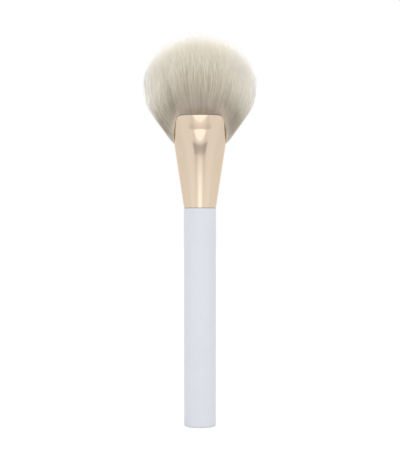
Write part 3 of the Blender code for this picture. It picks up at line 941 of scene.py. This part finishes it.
def build_tuft():
    """All strands, sorted into layers from front to back that stand for the rows of bristles."""
    random = np.random.default_rng(STRAND_SEED)
    across, depth = scattered(random, STRAND_COUNT)
    strands = strand_rings(random, across, depth)
    deep = depth * np.sqrt(1 - across**2)
    layer_of = np.argsort(np.argsort(deep)) * LAYER_COUNT // STRAND_COUNT
    bounds = np.linspace(-SLABS_DEPTH, SLABS_DEPTH, LAYER_COUNT + 1)
    material = filament_material()
    for layer in range(LAYER_COUNT):
        held = layer_of == layer
        points, faces, maps = strand_prisms(random, *(values[held] for values in strands))
        slab, slab_faces, slab_uvs = root_slab(bounds[layer] + SLAB_MARGIN, bounds[layer + 1] - SLAB_MARGIN)
        faces += [corners + len(points) for corners in slab_faces]
        name = f"filament_layer_{layer + 1}"
        mesh = array_mesh(name, np.concatenate([points, slab]), faces, maps + slab_uvs)
        add_piece(name, mesh, material, "filament", f"bristle_row_{layer + 1}")


# Stage


def build_floor():
    """A wide white table, which ends in front of the brush a little behind the camera."""
    bm = bmesh.new()
    bmesh.ops.create_grid(bm, x_segments=FLOOR_CELLS, y_segments=FLOOR_CELLS, size=FLOOR_REACH)
    for vertex in bm.verts:
        share = (vertex.co.y + FLOOR_REACH) / (2 * FLOOR_REACH)
        vertex.co.y = -FLOOR_FRONT + share * (FLOOR_FRONT + FLOOR_REACH)
    mesh = bpy.data.meshes.new("studio_floor")
    bm.to_mesh(mesh)
    bm.free()
    mesh.materials.append(floor_material())
    floor = link(bpy.data.objects.new("studio_floor", mesh))
    floor.visible_glossy = False  # or its edge would draw a line across the metal


def surrounding_tone(graph):
    """The tone of the surroundings in each direction, as a share of the brightest."""
    direction = graph.parts(graph.add("ShaderNodeTexCoord", {})["Generated"])
    aside = graph.calculated("ABSOLUTE", direction["X"])
    level = graph.share(direction["Z"], (LOWEST_SINE, HIGHEST_SINE))
    span = HIGHEST_SINE - LOWEST_SINE

    def tones(stops):
        greys = [((sine - LOWEST_SINE) / span, (tone / BRIGHTEST,) * 3) for sine, tone in stops]
        return graph.ramp(level, greys)

    tone = tones(TONE_COLUMNS[0][1])
    for (inner, _), (outer, stops) in zip(TONE_COLUMNS, TONE_COLUMNS[1:]):
        tone = graph.mixed(graph.share(aside, (inner, outer)), tone, tones(stops))
    return graph.mixed(graph.share(direction["Y"], FAR_FADE), tone, tones(FAR_TONES))


def build_world():
    """White for the camera, and for light and reflections the tones of a studio."""
    world = bpy.data.worlds.new("soft_studio")
    world.use_nodes = True
    world.node_tree.nodes.clear()
    graph = Graph(world.node_tree)
    inputs = {"Color": surrounding_tone(graph), "Strength": SURROUND * BRIGHTEST}
    lit = graph.add("ShaderNodeBackground", inputs)["Background"]
    seen = graph.add("ShaderNodeBackground", {"Color": WHITE})["Background"]
    by_camera = graph.add("ShaderNodeLightPath", {})["Is Camera Ray"]
    both = graph.add("ShaderNodeMixShader", {"Fac": by_camera, 1: lit, 2: seen})["Shader"]
    graph.add("ShaderNodeOutputWorld", {"Surface": both})
    bpy.context.scene.world = world


def add_softbox(name, centre, target, width, height, radiance):
    """An oval area light whose face has the given radiance, where 1 is the white of the background."""
    light = bpy.data.lights.new(name, "AREA")
    light.shape = "ELLIPSE"
    light.size = width
    light.size_y = height
    light.energy = radiance * math.pi * (math.pi / 4 * width * height)
    placed = link(bpy.data.objects.new(name, light))
    placed.location = centre
    towards = Vector(np.array(target) - np.array(centre))
    placed.rotation_mode = "QUATERNION"
    placed.rotation_quaternion = towards.to_track_quat("-Z", "Y")
    return placed


def build_lights():
    """A softbox overhead, which the ferrule mirrors, and a wide fill from behind the camera."""
    add_softbox(
        "overhead_softbox",
        centre=(0.0, -0.50, 0.43),
        target=(0.0, 0.0, 0.13),
        width=0.21,
        height=0.34,
        radiance=0.50,
    )
    fill = add_softbox(
        "front_fill",
        centre=(0.0, -1.40, 0.50),
        target=(0.0, 0.0, 0.10),
        width=1.1,
        height=1.1,
        radiance=1.5,
    )
    fill.visible_glossy = False


def build_camera():
    """The photograph's camera, level and straight in front."""
    camera = bpy.data.cameras.new("camera")
    camera.sensor_width = SENSOR_WIDTH
    camera.lens = SENSOR_WIDTH * CAMERA_DISTANCE / (PHOTO_HEIGHT * PIXEL)
    placed = link(bpy.data.objects.new("camera", camera))
    placed.location = (0.0, -CAMERA_DISTANCE, CAMERA_HEIGHT)
    placed.rotation_euler = (math.pi / 2, 0.0, 0.0)
    bpy.context.scene.camera = placed


def dress_resin():
    """The glue and the resin plate keep their solids and get the look of set epoxy."""
    material = resin_material()
    for name in ("handle_adhesive", "root_potting"):
        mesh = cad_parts[name].data
        mesh.materials.clear()
        mesh.materials.append(material)


build_camera()
build_world()
build_lights()
build_floor()
dress_resin()
build_handle()
build_ferrule()
build_tuft()

bpy.context.scene.view_settings.view_transform = "Standard"
